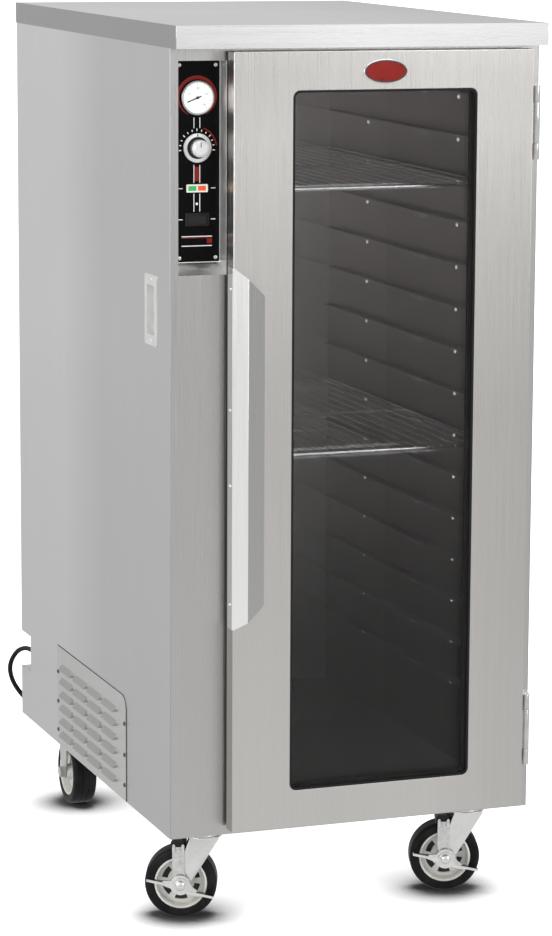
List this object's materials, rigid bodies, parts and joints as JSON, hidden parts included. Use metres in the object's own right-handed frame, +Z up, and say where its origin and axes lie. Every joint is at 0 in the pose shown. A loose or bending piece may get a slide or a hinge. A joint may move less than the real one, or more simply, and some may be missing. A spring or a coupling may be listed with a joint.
{
  "type": "food holding cabinet",
  "caption": "Tall stainless food holding cabinet on casters: windowed hinged door with side pull, recessed controls, wire shelves, louvred vent.",
  "frame": {"origin": "on the floor, under the middle of the cabinet", "axes": "+X to the right seen from the front, +Y to the back, +Z up"},
  "size_m": [0.6918, 1.1968, 1.5658],
  "materials": {
    "cap_steel": "brushed",
    "stainless": "brushed",
    "liner_steel": "brushed",
    "galvanised": "galvanised",
    "glass_wool": "matte",
    "wire_chrome": "bright",
    "motor_paint": "satin",
    "fan_aluminium": "bright",
    "element_steel": "oxidised",
    "black_plastic": "matte",
    "cord_rubber": "matte",
    "panel_black": "gloss",
    "needle_black": "painted",
    "knob_silver": "satin",
    "lamp_cream": "gloss",
    "lens_green": "gloss",
    "rocker_black": "gloss",
    "glass": "clear",
    "rubber": "matte",
    "handle_steel": "polished",
    "zinc": "zinc plated",
    "tyre": "matte"
  },
  "bodies": {
    "cabinet": {"top_cap": "cap_steel", "left_side_panel": "stainless", "right_side_panel": "stainless", "back_panel": "stainless", "base_pan": "galvanised", "control_column": "stainless", "door_frame": "stainless", "control_recess": "stainless", "duct_wall": "liner_steel", "liner_right_wall": "liner_steel", "liner_back_wall": "liner_steel", "liner_ceiling": "liner_steel", "liner_floor": "liner_steel", "insulation": "glass_wool", "shelf_slides": "liner_steel", "blower_housing": "galvanised", "blower_motor": "motor_paint", "heating_element": "element_steel", "vent_cover": "stainless", "hand_grip_left": "wire_chrome", "hand_grip_right": "wire_chrome", "cord_recess_box": "galvanised", "strain_relief": "black_plastic", "power_cord": "cord_rubber", "cord_coil": "cord_rubber", "cord_plug": "black_plastic", "control_panel": "panel_black", "thermometer_case": "wire_chrome", "thermostat_body": "black_plastic", "indicator_housing": "lamp_cream", "indicator_lenses": "lens_green", "switch_bezel": "black_plastic", "hinge_leaves_body": "zinc", "rear_caster_forks": "zinc", "swivel_mounts": "zinc"},
    "door": {"door_skin": "stainless", "door_inner_pan": "liner_steel", "window_panes": "glass", "window_gasket": "rubber", "door_seal": "rubber", "door_handle": "handle_steel", "hinge_leaves_door": "zinc"},
    "needle": {"thermometer_needle": "needle_black"},
    "knob": {"thermostat_knob": "knob_silver"},
    "rocker": {"switch_rocker": "rocker_black"},
    "fan": {"blower_wheel": "fan_aluminium"},
    "lower_shelf": {"wire_shelf_lower": "wire_chrome"},
    "upper_shelf": {"wire_shelf_upper": "wire_chrome"},
    "fork_left": {"fork_front_left": "zinc", "axle_front_left": "zinc"},
    "front_wheel_left": {"wheel_front_left": "tyre"},
    "pedal_left": {"brake_pedal_left": "zinc"},
    "shoe_left": {"brake_shoe_left": "zinc"},
    "rear_wheel_left": {"wheel_rear_left": "tyre"},
    "fork_right": {"fork_front_right": "zinc", "axle_front_right": "zinc"},
    "front_wheel_right": {"wheel_front_right": "tyre"},
    "pedal_right": {"brake_pedal_right": "zinc"},
    "shoe_right": {"brake_shoe_right": "zinc"},
    "rear_wheel_right": {"wheel_rear_right": "tyre"}
  },
  "joints": [
    {"name": "door_hinge", "type": "hinge", "parent": "cabinet", "child": "door", "pos_m": [0.3205, -0.468, 0.18], "axis": [0, 0, 1], "range_deg": [0, 180]},
    {"name": "knob_turn", "type": "hinge", "parent": "cabinet", "child": "knob", "pos_m": [-0.2779, -0.4135, 1.3577], "axis": [0, 1, 0], "range_deg": [0, 300]},
    {"name": "needle_turn", "type": "hinge", "parent": "cabinet", "child": "needle", "pos_m": [-0.2779, -0.4135, 1.4416], "axis": [0, 1, 0], "range_deg": [-20, 245]},
    {"name": "rocker_tilt", "type": "hinge", "parent": "cabinet", "child": "rocker", "pos_m": [-0.2779, -0.4115, 1.237], "axis": [0, 0, 1], "range_deg": [0, 16]},
    {"name": "fan_spin", "type": "hinge", "parent": "cabinet", "child": "fan", "pos_m": [-0.252, 0.03, 0.2645], "axis": [1, 0, 0], "continuous": true},
    {"name": "lower_shelf_slide", "type": "slide", "parent": "cabinet", "child": "lower_shelf", "axis": [0, -1, 0], "range_m": [0, 0.045]},
    {"name": "upper_shelf_slide", "type": "slide", "parent": "cabinet", "child": "upper_shelf", "axis": [0, -1, 0], "range_m": [0, 0.045]},
    {"name": "swivel_left", "type": "hinge", "parent": "cabinet", "child": "fork_left", "pos_m": [-0.25, -0.363, 0.146], "axis": [0, 0, 1], "continuous": true},
    {"name": "front_wheel_left_spin", "type": "hinge", "parent": "fork_left", "child": "front_wheel_left", "pos_m": [-0.28454, -0.34974, 0.0635], "axis": [-0.3584, -0.9336, 0], "continuous": true},
    {"name": "pedal_left_rock", "type": "hinge", "parent": "fork_left", "child": "pedal_left", "pos_m": [-0.28454, -0.34974, 0.0635], "axis": [-0.3584, -0.9336, 0], "range_deg": [0, 20]},
    {"name": "shoe_left_press", "type": "slide", "parent": "fork_left", "child": "shoe_left", "axis": [0, 0, -1], "range_m": [0, 0.0027]},
    {"name": "rear_wheel_left_spin", "type": "hinge", "parent": "cabinet", "child": "rear_wheel_left", "pos_m": [-0.25, 0.4195, 0.0635], "axis": [1, 0, 0], "continuous": true},
    {"name": "swivel_right", "type": "hinge", "parent": "cabinet", "child": "fork_right", "pos_m": [0.25, -0.363, 0.146], "axis": [0, 0, 1], "continuous": true},
    {"name": "front_wheel_right_spin", "type": "hinge", "parent": "fork_right", "child": "front_wheel_right", "pos_m": [0.21462, -0.35218, 0.0635], "axis": [-0.2924, -0.9563, 0], "continuous": true},
    {"name": "pedal_right_rock", "type": "hinge", "parent": "fork_right", "child": "pedal_right", "pos_m": [0.21462, -0.35218, 0.0635], "axis": [-0.2924, -0.9563, 0], "range_deg": [0, 20]},
    {"name": "shoe_right_press", "type": "slide", "parent": "fork_right", "child": "shoe_right", "axis": [0, 0, -1], "range_m": [0, 0.0027]},
    {"name": "rear_wheel_right_spin", "type": "hinge", "parent": "cabinet", "child": "rear_wheel_right", "pos_m": [0.25, 0.4195, 0.0635], "axis": [1, 0, 0], "continuous": true}
  ],
  "couplings": [
    {"joint": "shoe_left_press", "follows": "pedal_left_rock", "m_per_rad": 0.007735},
    {"joint": "shoe_right_press", "follows": "pedal_right_rock", "m_per_rad": 0.007735}
  ]
}
